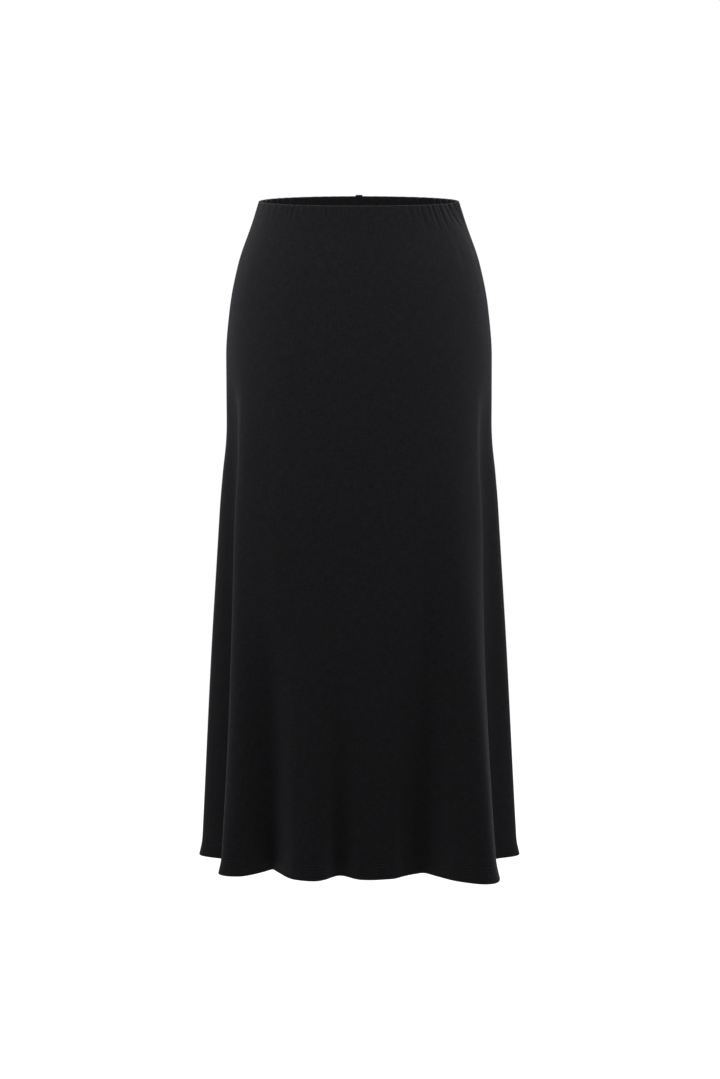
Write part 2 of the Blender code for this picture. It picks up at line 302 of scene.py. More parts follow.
def cloth_points(cut, drop, turns):
    """Points of the cloth's right side at one drop, before creases."""
    drop = min(max(drop, 0.0), LENGTH)
    places = turns + 0.003 * np.sin(20.0 * math.pi * turns)
    x, y = smooth_outline(drop, places)
    if drop < 0.07:
        ahead_x, ahead_y = smooth_outline(drop, places + 0.004)
        behind_x, behind_y = smooth_outline(drop, places - 0.004)
        run = np.hypot(ahead_x - behind_x, ahead_y - behind_y)
        height = gather_height(cut, drop, turns)
        x = x + height * (ahead_y - behind_y) / run
        y = y - height * (ahead_x - behind_x) / run
    for fold in FOLDS:
        grown = fold_growth(fold, drop)
        if grown == 0.0:
            continue
        lobe = soft_bump(np.abs(nearest_way_round(places - fold.around)), fold.half_width)
        x = x + fold.sideways * grown * lobe
        y = y - fold.forwards * grown * lobe
    return np.stack([x, y, np.full_like(x, -drop)], axis=1)


def cloth_normals(cut, drop, turns):
    """Directions straight out of the cloth's right side."""
    ahead = cloth_points(cut, drop, turns + 0.0006)
    behind = cloth_points(cut, drop, turns - 0.0006)
    lower = cloth_points(cut, drop + 0.003, turns)
    upper = cloth_points(cut, drop - 0.003, turns)
    normals = np.cross(lower - upper, ahead - behind)
    return normals / np.linalg.norm(normals, axis=1)[:, None]


def cloth_row(cut, drop, turns, inset):
    """Creased points of the cloth at one drop and inset, their distances along it, and its normals."""
    points = cloth_points(cut, drop, turns)
    steps = np.linalg.norm(np.diff(points, axis=0), axis=1)
    walked = np.concatenate([[0.0], np.cumsum(steps)])
    walked -= walked[len(walked) // 2]
    raised = relief(cut, drop, turns, walked) - inset
    normals = cloth_normals(cut, drop, turns)
    return points + normals * np.asarray(raised)[:, None], walked, normals


def cloth_path(cut):
    """(drop, inset) from the casing's raw edge, over the waist's fold, down and round the hem."""
    top = cut.waist_fold
    foot = cut.hem_fold
    path = [(drop, 2.0 * top) for drop in np.linspace(CASING_DEPTH, top, 9)[:-1]]
    for angle in np.linspace(math.pi, 0.0, 9):
        path.append((top * (1.0 - math.sin(angle)), top * (1.0 - math.cos(angle))))
    path += [(drop, 0.0) for drop in np.linspace(top, GATHERED_ROWS, 22)[1:]]
    path += [(drop, 0.0) for drop in np.linspace(GATHERED_ROWS, LENGTH - HEM_ROWS, cut.body_rows)[1:]]
    path += [(drop, 0.0) for drop in np.linspace(LENGTH - HEM_ROWS, LENGTH - foot, 12)[1:-1]]
    for angle in np.linspace(0.0, math.pi, 7):
        path.append((LENGTH - foot * (1.0 - math.sin(angle)), foot * (1.0 - math.cos(angle))))
    path += [(drop, 2.0 * foot) for drop in np.linspace(LENGTH - foot, LENGTH - HEM_DEPTH, 8)[1:]]
    return path


def flat_widths(cut, seams):
    """Widths of a panel laid flat, with both seam allowances, at even drops from waist to hem."""
    turns = np.linspace(seams[0], seams[1], 600)
    widths = []
    for drop in np.linspace(0.0, LENGTH, 45):
        points = cloth_points(cut, drop, turns)
        walked = np.linalg.norm(np.diff(points, axis=0), axis=1).sum()
        widths.append(float(walked) + 2.0 * cut.seam_allowance)
    return widths


def flat_size(cut, seams):
    """Width at the hem and whole length of a panel's cut, with its casing and its turned-up hem."""
    return max(flat_widths(cut, seams)), LENGTH + CASING_DEPTH + HEM_DEPTH


def flat_area(cut, seams):
    """Area of a panel's cut, narrow at the waist and wide at the hem."""
    widths = flat_widths(cut, seams)
    return float(np.mean(widths)) * LENGTH + widths[0] * CASING_DEPTH + widths[-1] * HEM_DEPTH


def walk_per_turn(cut, drop, turn):
    """Metres along the cloth for each whole turn, at the pace of one place on it."""
    ends = cloth_points(cut, drop, np.array([turn - 0.0005, turn + 0.0005]))
    return np.linalg.norm(ends[1] - ends[0]) / 0.001


def panel_turns(cut, drop, seams):
    """Turns across a panel, closer together at its rolled edges, and how far in each place goes."""
    paces = [walk_per_turn(cut, drop, seam) for seam in seams]
    roll = cut.seam_roll
    near = roll * np.array([0.0, 0.12, 0.35, 0.65, 1.0, 2.0, 3.5])
    start = seams[0] + near / paces[0]
    end = seams[1] - near[::-1] / paces[1]
    across = np.linspace(start[-1], end[0], cut.columns)
    turns = np.concatenate([start[:-1], across, end[1:]])
    distance = np.full(len(turns), 1.0)
    distance[: len(near)] = near
    distance[-len(near) :] = near[::-1]
    inside = np.clip(1.0 - distance / roll, 0.0, 1.0)
    rolled = roll * (1.0 - np.sqrt(1.0 - inside**2))
    ditch = 0.00035 * np.clip(1.0 - distance / (3.6 * roll), 0.0, 1.0) ** 2
    return turns, rolled + ditch


def grid_mesh(name, rows, places):
    """A surface through rows of points, with their places on the flat cloth as a UV map in metres."""
    height = len(rows)
    width = len(rows[0])
    points = np.concatenate(rows)
    corner = (np.arange(height - 1)[:, None] * width + np.arange(width - 1)[None, :]).reshape(-1)
    faces = np.stack([corner, corner + width, corner + width + 1, corner + 1], axis=1)
    mesh = bpy.data.meshes.new(name)
    mesh.from_pydata(points.tolist(), [], faces.tolist())
    mesh.update()
    flat = mesh.uv_layers.new(name="flat_cloth")
    corners = np.zeros(len(mesh.loops), dtype=np.int32)
    mesh.loops.foreach_get("vertex_index", corners)
    flat.data.foreach_set("uv", np.concatenate(places)[corners].reshape(-1).astype(np.float32))
    mesh.shade_smooth()
    return mesh


def show(mesh, *materials):
    """Links a mesh as an object of its name, at the origin, with its materials."""
    piece = bpy.data.objects.new(mesh.name, mesh)
    bpy.context.scene.collection.objects.link(piece)
    for material in materials:
        mesh.materials.append(material)
    return piece


def add_wall(piece, thickness, inside_slot=0):
    """Gives a surface its thickness, behind its face, with another material on its wrong side."""
    wall = piece.modifiers.new("wall", "SOLIDIFY")
    wall.thickness = thickness
    wall.offset = -1.0
    wall.use_even_offset = False
    wall.material_offset = inside_slot
    wall.material_offset_rim = inside_slot


def new_material(name):
    """A material with an empty Principled shader, and its tree."""
    material = bpy.data.materials.new(name)
    material.use_nodes = True
    tree = material.node_tree
    return material, tree, tree.nodes["Principled BSDF"]


def math_node(tree, operation, *values):
    """The output of a Math node on sockets or numbers."""
    node = tree.nodes.new("ShaderNodeMath")
    node.operation = operation
    for socket, value in zip(node.inputs, values):
        if isinstance(value, bpy.types.NodeSocket):
            tree.links.new(value, socket)
        else:
            socket.default_value = value
    return node.outputs[0]


def knit_height(tree, wale, course):
    """The height of plain knit loops, as columns of small V shapes that follow the flat cloth."""
    flat = tree.nodes.new("ShaderNodeUVMap")
    flat.uv_map = "flat_cloth"
    parts = tree.nodes.new("ShaderNodeSeparateXYZ")
    tree.links.new(flat.outputs["UV"], parts.inputs[0])
    across = math_node(tree, "DIVIDE", parts.outputs["X"], wale)
    along = math_node(tree, "DIVIDE", parts.outputs["Y"], course)
    in_wale = math_node(tree, "SUBTRACT", math_node(tree, "FRACT", across), 0.5)
    from_middle = math_node(tree, "ABSOLUTE", in_wale)
    leg = math_node(tree, "SINE", math_node(tree, "MULTIPLY", from_middle, 2.0 * math.pi))
    slanted = math_node(tree, "ADD", along, math_node(tree, "MULTIPLY", from_middle, 1.4))
    loop = math_node(tree, "SINE", math_node(tree, "MULTIPLY", slanted, 2.0 * math.pi))
    return math_node(tree, "ADD", leg, math_node(tree, "MULTIPLY", loop, 0.45))


def noise_node(tree, scale, detail, roughness=0.5):
    """A noise texture on the object's own coordinates."""
    coordinates = tree.nodes.new("ShaderNodeTexCoord")
    noise = tree.nodes.new("ShaderNodeTexNoise")
    noise.inputs["Scale"].default_value = scale
    noise.inputs["Detail"].default_value = detail
    noise.inputs["Roughness"].default_value = roughness
    tree.links.new(coordinates.outputs["Object"], noise.inputs["Vector"])
    return noise.outputs["Fac"]


def ramp_node(tree, factor, low, high, first, last):
    """A colour ramp between two colours over a stretch of a factor."""
    ramp = tree.nodes.new("ShaderNodeValToRGB")
    ramp.color_ramp.elements[0].position = low
    ramp.color_ramp.elements[0].color = (*first, 1.0)
    ramp.color_ramp.elements[1].position = high
    ramp.color_ramp.elements[1].color = (*last, 1.0)
    tree.links.new(factor, ramp.inputs[0])
    return ramp.outputs["Color"]


def range_node(tree, value, from_low, from_high, to_low, to_high):
    """A value mapped from one range to another."""
    node = tree.nodes.new("ShaderNodeMapRange")
    for socket, number in zip(node.inputs[1:5], (from_low, from_high, to_low, to_high)):
        socket.default_value = number
    tree.links.new(value, node.inputs[0])
    return node.outputs[0]


def bump_node(tree, height, distance, strength, before=None):
    """A bump from a height, on top of an earlier bump."""
    bump = tree.nodes.new("ShaderNodeBump")
    bump.inputs["Distance"].default_value = distance
    bump.inputs["Strength"].default_value = strength
    tree.links.new(height, bump.inputs["Height"])
    if before is not None:
        tree.links.new(before, bump.inputs["Normal"])
    return bump.outputs["Normal"]


def streak_noise(tree, across, along, detail):
    """A noise on the flat cloth, drawn out along the courses or along the wales."""
    flat = tree.nodes.new("ShaderNodeUVMap")
    flat.uv_map = "flat_cloth"
    scaled = tree.nodes.new("ShaderNodeVectorMath")
    scaled.operation = "MULTIPLY"
    scaled.inputs[1].default_value = (across, along, 1.0)
    noise = tree.nodes.new("ShaderNodeTexNoise")
    noise.inputs["Scale"].default_value = 1.0
    noise.inputs["Detail"].default_value = detail
    noise.inputs["Roughness"].default_value = 0.6
    tree.links.new(flat.outputs["UV"], scaled.inputs[0])
    tree.links.new(scaled.outputs[0], noise.inputs["Vector"])
    return noise.outputs["Fac"]


def jersey_material(finish, name, colour, wale, course, knit_strength, sheen):
    """Matt knitted jersey: fine loops, mottled yarn, and a short nap that catches light at its edges."""
    material, tree, shader = new_material(name)
    colour = Vector(colour)
    grain = streak_noise(tree, 520.0, 520.0, 1.0)
    courses = streak_noise(tree, 110.0, 640.0, 1.0)
    wales = streak_noise(tree, 640.0, 90.0, 1.0)
    cloudy = noise_node(tree, 9.0, 3.0, 0.55)
    mottle = math_node(tree, "ADD", grain, math_node(tree, "ADD", courses, wales))
    yarn = math_node(tree, "MULTIPLY", mottle, 0.30)
    total = math_node(tree, "ADD", yarn, math_node(tree, "MULTIPLY", cloudy, 0.10))
    spread = finish.mottle
    shade = ramp_node(tree, total, 0.41, 0.59, colour * (1.0 - spread), colour * (1.0 + spread))
    tree.links.new(shade, shader.inputs["Base Color"])
    tree.links.new(range_node(tree, cloudy, 0.3, 0.7, 0.80, 0.92), shader.inputs["Roughness"])
    knit = bump_node(tree, knit_height(tree, wale, course), 0.00012, knit_strength)
    nap = bump_node(tree, grain, 0.0004, finish.nap, knit)
    slub = bump_node(tree, noise_node(tree, 60.0, 3.0, 0.5), 0.0006, 0.25, nap)
    tree.links.new(slub, shader.inputs["Normal"])
    shader.inputs["Specular IOR Level"].default_value = finish.gloss
    shader.inputs["Sheen Weight"].default_value = sheen
    shader.inputs["Sheen Roughness"].default_value = 0.42
    shader.inputs["Sheen Tint"].default_value = (0.86, 0.88, 1.0, 1.0)
    return material


def thread_material(finish):
    """Spun polyester thread, a little glossier than the cloth, with twisted plies."""
    material, tree, shader = new_material("black_thread")
    colour = Vector(finish.thread_colour)
    fibre = noise_node(tree, 2600.0, 2.0, 0.6)
    shade = ramp_node(tree, fibre, 0.3, 0.7, colour * 0.75, colour * 1.3)
    tree.links.new(shade, shader.inputs["Base Color"])
    tree.links.new(range_node(tree, fibre, 0.3, 0.7, 0.5, 0.66), shader.inputs["Roughness"])
    tree.links.new(bump_node(tree, fibre, 0.00008, 0.6), shader.inputs["Normal"])
    shader.inputs["Specular IOR Level"].default_value = 0.12
    shader.inputs["Sheen Weight"].default_value = 0.03
    return material


def floor_material(stage):
    """Pale matt paint with the faintest unevenness."""
    material, tree, shader = new_material("pale_floor")
    pale = Vector(stage.floor_colour)
    cloud = noise_node(tree, 0.7, 2.0)
    tree.links.new(ramp_node(tree, cloud, 0.3, 0.7, pale * 0.99, pale), shader.inputs["Base Color"])
    tree.links.new(bump_node(tree, noise_node(tree, 240.0, 2.0), 0.0004, 0.05), shader.inputs["Normal"])
    shader.inputs["Roughness"].default_value = 0.85
    shader.inputs["Specular IOR Level"].default_value = 0.1
    return material


def material_named(name):
    """A material made earlier by the finishes' operator."""
    material = bpy.data.materials.get(name)
    if material is None:
        raise RuntimeError(f"the finishes have to be made before this piece: {name}")
    return material


def line_object(name, points, across):
    """A line of points with the direction across it stored on each, for stitches to follow."""
    mesh = bpy.data.meshes.new(name)
    edges = [(i, i + 1) for i in range(len(points) - 1)]
    mesh.from_pydata([tuple(point) for point in points], edges, [])
    attribute = mesh.attributes.new("across", "FLOAT_VECTOR", "POINT")
    attribute.data.foreach_set("vector", np.asarray(across, dtype=np.float32).reshape(-1))
    return show(mesh)


def new_tree(name, inputs):
    """A Geometry Nodes tree with named number inputs, its two end nodes, and a curve from its line."""
    tree = bpy.data.node_groups.new(name, "GeometryNodeTree")
    tree.interface.new_socket("Geometry", in_out="INPUT", socket_type="NodeSocketGeometry")
    tree.interface.new_socket("Geometry", in_out="OUTPUT", socket_type="NodeSocketGeometry")
    for label, value in inputs.items():
        socket = tree.interface.new_socket(label, in_out="INPUT", socket_type="NodeSocketFloat")
        socket.default_value = value
    entry = tree.nodes.new("NodeGroupInput")
    leave = tree.nodes.new("NodeGroupOutput")
    curve = tree.nodes.new("GeometryNodeMeshToCurve")
    tree.links.new(entry.outputs["Geometry"], curve.inputs[0])
    return tree, entry, leave, curve


def points_along(tree, curve, step):
    """The curve with a point after each step along it."""
    spaced = tree.nodes.new("GeometryNodeResampleCurve")
    spaced.mode = "LENGTH"
    tree.links.new(curve.outputs[0], spaced.inputs["Curve"])
    tree.links.new(step, spaced.inputs["Length"])
    return spaced.outputs[0]


def finish_tree(tree, geometry, leave, material):
    """Realizes the instances, shades them smooth and gives them their material."""
    real = tree.nodes.new("GeometryNodeRealizeInstances")
    smooth = tree.nodes.new("GeometryNodeSetShadeSmooth")
    paint = tree.nodes.new("GeometryNodeSetMaterial")
    paint.inputs["Material"].default_value = material
    tree.links.new(geometry, real.inputs[0])
    tree.links.new(real.outputs[0], smooth.inputs[0])
    tree.links.new(smooth.outputs[0], paint.inputs[0])
    tree.links.new(paint.outputs[0], leave.inputs[0])


def running_stitch_tree(material):
    """Short straight stitches laid end to end along a line, with a small gap between them."""
    inputs = {"Spacing": 0.003, "Stitch Length": 0.0024, "Thread Radius": 0.0002}
    tree, entry, leave, curve = new_tree("running_stitch", inputs)
    spaced = points_along(tree, curve, entry.outputs["Spacing"])
    half_length = math_node(tree, "MULTIPLY", entry.outputs["Stitch Length"], 0.5)
    ball = tree.nodes.new("GeometryNodeMeshUVSphere")
    ball.inputs["Segments"].default_value = 8
    ball.inputs["Rings"].default_value = 5
    ball.inputs["Radius"].default_value = 1.0
    size = tree.nodes.new("ShaderNodeCombineXYZ")
    shape = tree.nodes.new("GeometryNodeTransform")
    tangent = tree.nodes.new("GeometryNodeInputTangent")
    turned = tree.nodes.new("FunctionNodeAlignRotationToVector")
    turned.axis = "X"
    place = tree.nodes.new("GeometryNodeInstanceOnPoints")
    links = tree.links
    links.new(half_length, size.inputs["X"])
    links.new(entry.outputs["Thread Radius"], size.inputs["Y"])
    links.new(entry.outputs["Thread Radius"], size.inputs["Z"])
    links.new(ball.outputs["Mesh"], shape.inputs["Geometry"])
    links.new(size.outputs[0], shape.inputs["Scale"])
    links.new(tangent.outputs[0], turned.inputs["Vector"])
    links.new(spaced, place.inputs["Points"])
    links.new(shape.outputs[0], place.inputs["Instance"])
    links.new(turned.outputs[0], place.inputs["Rotation"])
    finish_tree(tree, place.outputs[0], leave, material)
    return tree


def zigzag_tree(material):
    """A thread that zigzags across a line, as a looper thread or an overlocked edge does."""
    inputs = {"Pitch": 0.0025, "Half Width": 0.002, "Thread Radius": 0.00018}
    tree, entry, leave, curve = new_tree("zigzag_thread", inputs)
    half_pitch = math_node(tree, "MULTIPLY", entry.outputs["Pitch"], 0.5)
    spaced = points_along(tree, curve, half_pitch)
    number = tree.nodes.new("GeometryNodeInputIndex")
    parity = math_node(tree, "MODULO", number.outputs[0], 2.0)
    side = math_node(tree, "MULTIPLY_ADD", parity, 2.0, -1.0)
    reach = math_node(tree, "MULTIPLY", side, entry.outputs["Half Width"])
    across = tree.nodes.new("GeometryNodeInputNamedAttribute")
    across.data_type = "FLOAT_VECTOR"
    across.inputs["Name"].default_value = "across"
    offset = tree.nodes.new("ShaderNodeVectorMath")
    offset.operation = "SCALE"
    moved = tree.nodes.new("GeometryNodeSetPosition")
    ring = tree.nodes.new("GeometryNodeCurvePrimitiveCircle")
    ring.inputs["Resolution"].default_value = 5
    tube = tree.nodes.new("GeometryNodeCurveToMesh")
    tube.inputs["Fill Caps"].default_value = True
    links = tree.links
    links.new(across.outputs["Attribute"], offset.inputs[0])
    links.new(reach, offset.inputs["Scale"])
    links.new(spaced, moved.inputs["Geometry"])
    links.new(offset.outputs[0], moved.inputs["Offset"])
    links.new(entry.outputs["Thread Radius"], ring.inputs["Radius"])
    links.new(moved.outputs[0], tube.inputs["Curve"])
    links.new(ring.outputs[0], tube.inputs["Profile Curve"])
    finish_tree(tree, tube.outputs[0], leave, material)
    return tree


def sew(line, tree, values):
    """Runs a stitch tree on a line and returns the plain mesh object that takes the line's place."""
    modifier = line.modifiers.new("stitches", "NODES")
    modifier.node_group = tree
    identifiers = {}
    for item in tree.interface.items_tree:
        if item.item_type == "SOCKET" and item.in_out == "INPUT":
            identifiers[item.name] = item.identifier
    for label, value in values.items():
        modifier[identifiers[label]] = value
    graph = bpy.context.evaluated_depsgraph_get()
    mesh = bpy.data.meshes.new_from_object(line.evaluated_get(graph))
    if len(mesh.polygons) == 0:
        raise RuntimeError(f"no stitches were made along {line.name}")
    name = line.name
    bare_line = line.data
    bpy.data.objects.remove(line, do_unlink=True)
    bpy.data.meshes.remove(bare_line)
    mesh.name = name
    return show(mesh)


def joined(name, pieces):
    """One piece in place of several, with their meshes in it."""
    with bpy.context.temp_override(
        active_object=pieces[0], selected_editable_objects=pieces, selected_objects=pieces
    ):
        bpy.ops.object.join()
    pieces[0].name = name
    pieces[0].data.name = name
    return pieces[0]


def hem_line(cut, name, seams, above_hem, inset):
    """A line along the hem at a height above its edge, with the direction up the cloth across it."""
    drop = LENGTH - above_hem
    margin = 0.0012
    turns = np.linspace(seams[0] + margin, seams[1] - margin, 900)
    points, _, normals = cloth_row(cut, drop, turns, inset)
    along = np.gradient(points, axis=0)
    up = np.cross(normals, along)
    up /= np.linalg.norm(up, axis=1)[:, None]
    up[up[:, 2] < 0.0] *= -1.0
    return line_object(name, points, up)


def down_line(cut, name, seam, beside, from_drop, to_drop, inset, count=320):
    """A line down the cloth beside a seam, with the direction across the seam stored on it."""
    points = []
    across = []
    for drop in np.linspace(from_drop, to_drop, count):
        place = seam + beside / walk_per_turn(cut, drop, seam)
        row, _, _ = cloth_row(cut, drop, np.array([place - 0.001, place, place + 0.001]), inset)
        way = row[2] - row[0]
        points.append(row[1])
        across.append(way / np.linalg.norm(way))
    return line_object(name, points, across)


class SkirtCut(bpy.types.PropertyGroup):
    """The sizes of the cloth, its folded edges and its gathers."""

    cloth: FloatProperty(
        name="Cloth thickness", description="Thickness of the jersey", default=0.0007, unit="LENGTH"
    )
    waist_fold: FloatProperty(
        name="Waist fold",
        description="Radius of the fold over the elastic",
        default=0.0016,
        unit="LENGTH",
    )
    hem_fold: FloatProperty(
        name="Hem fold", description="Radius of the fold along the hem", default=0.0009, unit="LENGTH"
    )
    seam_roll: FloatProperty(
        name="Seam roll", description="Radius of a panel's edge at a seam", default=0.0009, unit="LENGTH"
    )
    seam_allowance: FloatProperty(
        name="Seam allowance", description="Width of the cloth past a seam", default=0.009, unit="LENGTH"
    )
    hem_stitch_height: FloatProperty(
        name="Hem stitching", description="Height of the twin rows' middle", default=0.0184, unit="LENGTH"
    )
    hem_kick: FloatProperty(
        name="Hem kick",
        description="How far the hem's edge turns outwards",
        default=0.0031,
        unit="LENGTH",
    )
    hem_stitch_gap: FloatProperty(
        name="Needle gap", description="Distance between the two rows", default=0.0036, unit="LENGTH"
    )
    stitch_spacing: FloatProperty(
        name="Stitch spacing", description="From one stitch to the next", default=0.0029, unit="LENGTH"
    )
    thread_radius: FloatProperty(
        name="Thread radius",
        description="Half the thickness of the thread",
        default=0.00019,
        unit="LENGTH",
    )
    gathers: IntProperty(
        name="Gathers", description="Gathers round the waist", default=52, min=20, max=80
    )
    gather_lift: FloatProperty(
        name="Gather height", description="Share of the zones' heights", default=1.0
    )
    gather_unevenness: FloatProperty(
        name="Gather unevenness",
        description="How much the gathers differ",
        default=0.35,
        subtype="FACTOR",
    )
    crease_lift: FloatProperty(
        name="Crease height", description="Share of the creases' heights", default=1.0
    )
    columns: IntProperty(
        name="Columns", description="Cells across a panel", default=288, min=60, max=300
    )
    body_rows: IntProperty(
        name="Body rows", description="Rows down the body", default=94, min=30, max=110
    )


class SkirtFinish(bpy.types.PropertyGroup):
    """The colours and surface of the jersey and the thread."""

    cloth_colour: FloatVectorProperty(
        name="Cloth",
        description="Right side of the jersey",
        subtype="COLOR",
        default=(0.0066, 0.0066, 0.0076),
    )
    # The wrong side's colour is partly the yarn's own lighter tone and partly painted light: it was raised
    # to stand in for light falling from above.
    inside_colour_with_painted_light: FloatVectorProperty(
        name="Inside",
        description="Wrong side of the jersey",
        subtype="COLOR",
        default=(0.0150, 0.0150, 0.0172),
    )
    thread_colour: FloatVectorProperty(
        name="Thread", description="Sewing thread", subtype="COLOR", default=(0.0072, 0.0072, 0.0082)
    )
    gloss: FloatProperty(
        name="Gloss", description="Reflection of the fibres", default=0.08, subtype="FACTOR"
    )
    sheen: FloatProperty(
        name="Sheen", description="Light caught by the nap", default=0.05, subtype="FACTOR"
    )
    nap: FloatProperty(
        name="Nap", description="Roughness of the short nap", default=0.35, subtype="FACTOR"
    )
    mottle: FloatProperty(
        name="Mottle", description="How much the yarn's shade varies", default=0.32, subtype="FACTOR"
    )
    wale: FloatProperty(
        name="Wale", description="Width of one column of loops", default=0.00075, unit="LENGTH"
    )
    course: FloatProperty(
        name="Course", description="Height of one row of loops", default=0.00060, unit="LENGTH"
    )


class SkirtStage(bpy.types.PropertyGroup):
    """The floor, the camera and the studio lights."""

    floor_drop: FloatProperty(
        name="Floor", description="Depth of the floor below the waist", default=1.45, unit="LENGTH"
    )
    floor_radius: FloatProperty(
        name="Floor radius", description="Half the width of the floor", default=1.9, unit="LENGTH"
    )
    floor_colour: FloatVectorProperty(
        name="Floor colour", description="Pale paint", subtype="COLOR", default=(0.90, 0.90, 0.90)
    )
    camera_distance: FloatProperty(
        name="Camera distance", description="From the waist's middle, along Y", default=3.2, unit="LENGTH"
    )
    camera_height: FloatProperty(
        name="Camera height", description="Above the waist", default=0.2, unit="LENGTH"
    )
    aim_drop: FloatProperty(
        name="Aim", description="Where the camera looks, below the waist", default=0.4436, unit="LENGTH"
    )
    lens: FloatProperty(name="Lens", description="Focal length in millimetres", default=82.58)
    key_power: FloatProperty(
        name="Key light", description="Soft light above the front", default=39.5, unit="POWER"
    )
    side_power: FloatProperty(
        name="Side lights", description="Soft lights beside the skirt", default=12.5, unit="POWER"
    )
    front_power: FloatProperty(
        name="Front light", description="Narrow light on the waist", default=2.2, unit="POWER"
    )
    top_power: FloatProperty(
        name="Top light", description="Wide light over the floor", default=200.0, unit="POWER"
    )
    surround: FloatProperty(name="Surround", description="Light of the white studio", default=0.06)


class SKIRT_OT_finishes(bpy.types.Operator):
    """Make the jersey, its wrong side and the thread"""

    bl_idname = "skirt.finishes"
    bl_label = "Finishes"

    def execute(self, context):
        finish = context.scene.skirt_finish
        jersey_material(
            finish, "black_jersey", finish.cloth_colour, finish.wale, finish.course, 0.55, finish.sheen
        )
        sheen = 0.6 * finish.sheen
        # The wrong side's colour carries painted light, made lighter to stand in for light from above.
        jersey_material(
            finish, "jersey_wrong_side", finish.inside_colour_with_painted_light, finish.course, finish.wale, 0.8, sheen
        )
        thread_material(finish)
        return {"FINISHED"}


class SKIRT_OT_panels(bpy.types.Operator):
    """Build the front and back, each in one cloth with its turned casing and its turned-up hem"""

    bl_idname = "skirt.panels"
    bl_label = "Front and back"

    def execute(self, context):
        cut = context.scene.skirt_cut
        for side, seams in PANELS.items():
            rows = []
            places = []
            length = 0.0
            last = None
            for drop, inset in cloth_path(cut):
                turns, rolled = panel_turns(cut, drop, seams)
                row, walked, _ = cloth_row(cut, drop, turns, inset + rolled)
                middle = row[len(row) // 2]
                if last is not None:
                    length += float(np.linalg.norm(middle - last))
                last = middle
                rows.append(row)
                places.append(np.stack([walked, np.full(len(walked), length)], axis=1))
            mesh = grid_mesh(side + "_cloth", rows, places)
            piece = show(mesh, material_named("black_jersey"), material_named("jersey_wrong_side"))
            add_wall(piece, cut.cloth, inside_slot=1)
            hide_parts(side + "_panel", side + "_casing", side + "_hem_turn_up")
            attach(piece, "root")
        return {"FINISHED"}


class SKIRT_OT_seam_allowances(bpy.types.Operator):
    """Lay the two side seams' overlocked allowances on the inside of the back"""

    bl_idname = "skirt.seam_allowances"
    bl_label = "Side seams"

    def execute(self, context):
        cut = context.scene.skirt_cut
        zigzag = zigzag_tree(material_named("black_thread"))
        for side, seam in SIDES.items():
            towards_back = 1.0 if side == "right" else -1.0
            rows = []
            places = []
            for drop in np.linspace(CASING_DEPTH + 0.001, LENGTH - HEM_DEPTH - 0.001, 150):
                steps = np.array([-0.0010, 0.0, 0.0012, 0.003, 0.0055, 0.0078, cut.seam_allowance])
                lift = np.array([0.0013, 0.0018, 0.0021, 0.0023, 0.0022, 0.0021, 0.0019]) + 0.0002
                lift += 0.0002 * np.sin(drop / 0.021) + 0.00015 * np.sin(drop / 0.0083)
                turns = seam + towards_back * steps / walk_per_turn(cut, drop, seam)
                row, _, _ = cloth_row(cut, drop, turns, lift)
                rows.append(row)
                places.append(np.stack([steps, np.full(len(steps), drop)], axis=1))
            if towards_back < 0.0:
                rows = [row[::-1] for row in rows]
                places = [row[::-1] for row in places]
            mesh = grid_mesh(side + "_seam_allowance", rows, places)
            allowance = show(mesh, material_named("jersey_wrong_side"))
            allowance.data.flip_normals()
            add_wall(allowance, 2.0 * cut.cloth - 0.0002)
            edge = down_line(
                cut,
                side + "_seam_overlock",
                seam,
                towards_back * (cut.seam_allowance - 0.0018),
                CASING_DEPTH + 0.002,
                LENGTH - HEM_DEPTH - 0.002,
                0.0025,
            )
            values = {"Pitch": 0.0024, "Half Width": 0.0021, "Thread Radius": cut.thread_radius}
            overlock = sew(edge, zigzag, values)
            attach(allowance, "root")
            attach(overlock, "root")
        return {"FINISHED"}


class SKIRT_OT_hem_stitching(bpy.types.Operator):
    """Sew the twin rows on the outside of the hem and their looper thread inside"""

    bl_idname = "skirt.hem_stitching"
    bl_label = "Hem stitching"

    def execute(self, context):
        cut = context.scene.skirt_cut
        straight = running_stitch_tree(material_named("black_thread"))
        zigzag = zigzag_tree(material_named("black_thread"))
        for side, seams in PANELS.items():
            rows = []
            for label, away in (("upper", 0.5), ("lower", -0.5)):
                height = cut.hem_stitch_height + away * cut.hem_stitch_gap
                line = hem_line(cut, f"{side}_hem_{label}_row", seams, height, -0.00008)
                values = {
                    "Spacing": cut.stitch_spacing,
                    "Stitch Length": 0.86 * cut.stitch_spacing,
                    "Thread Radius": cut.thread_radius,
                }
                rows.append(sew(line, straight, values))
            stitches = joined(side + "_hem_stitches", rows)
            inner = hem_line(
                cut, side + "_hem_looper", seams, cut.hem_stitch_height, 2.0 * cut.hem_fold + 0.0001
            )
            values = {
                "Pitch": cut.stitch_spacing,
                "Half Width": 0.5 * cut.hem_stitch_gap,
                "Thread Radius": cut.thread_radius,
            }
            looper = sew(inner, zigzag, values)
            for piece in (stitches, looper):
                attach(piece, "root")
        return {"FINISHED"}


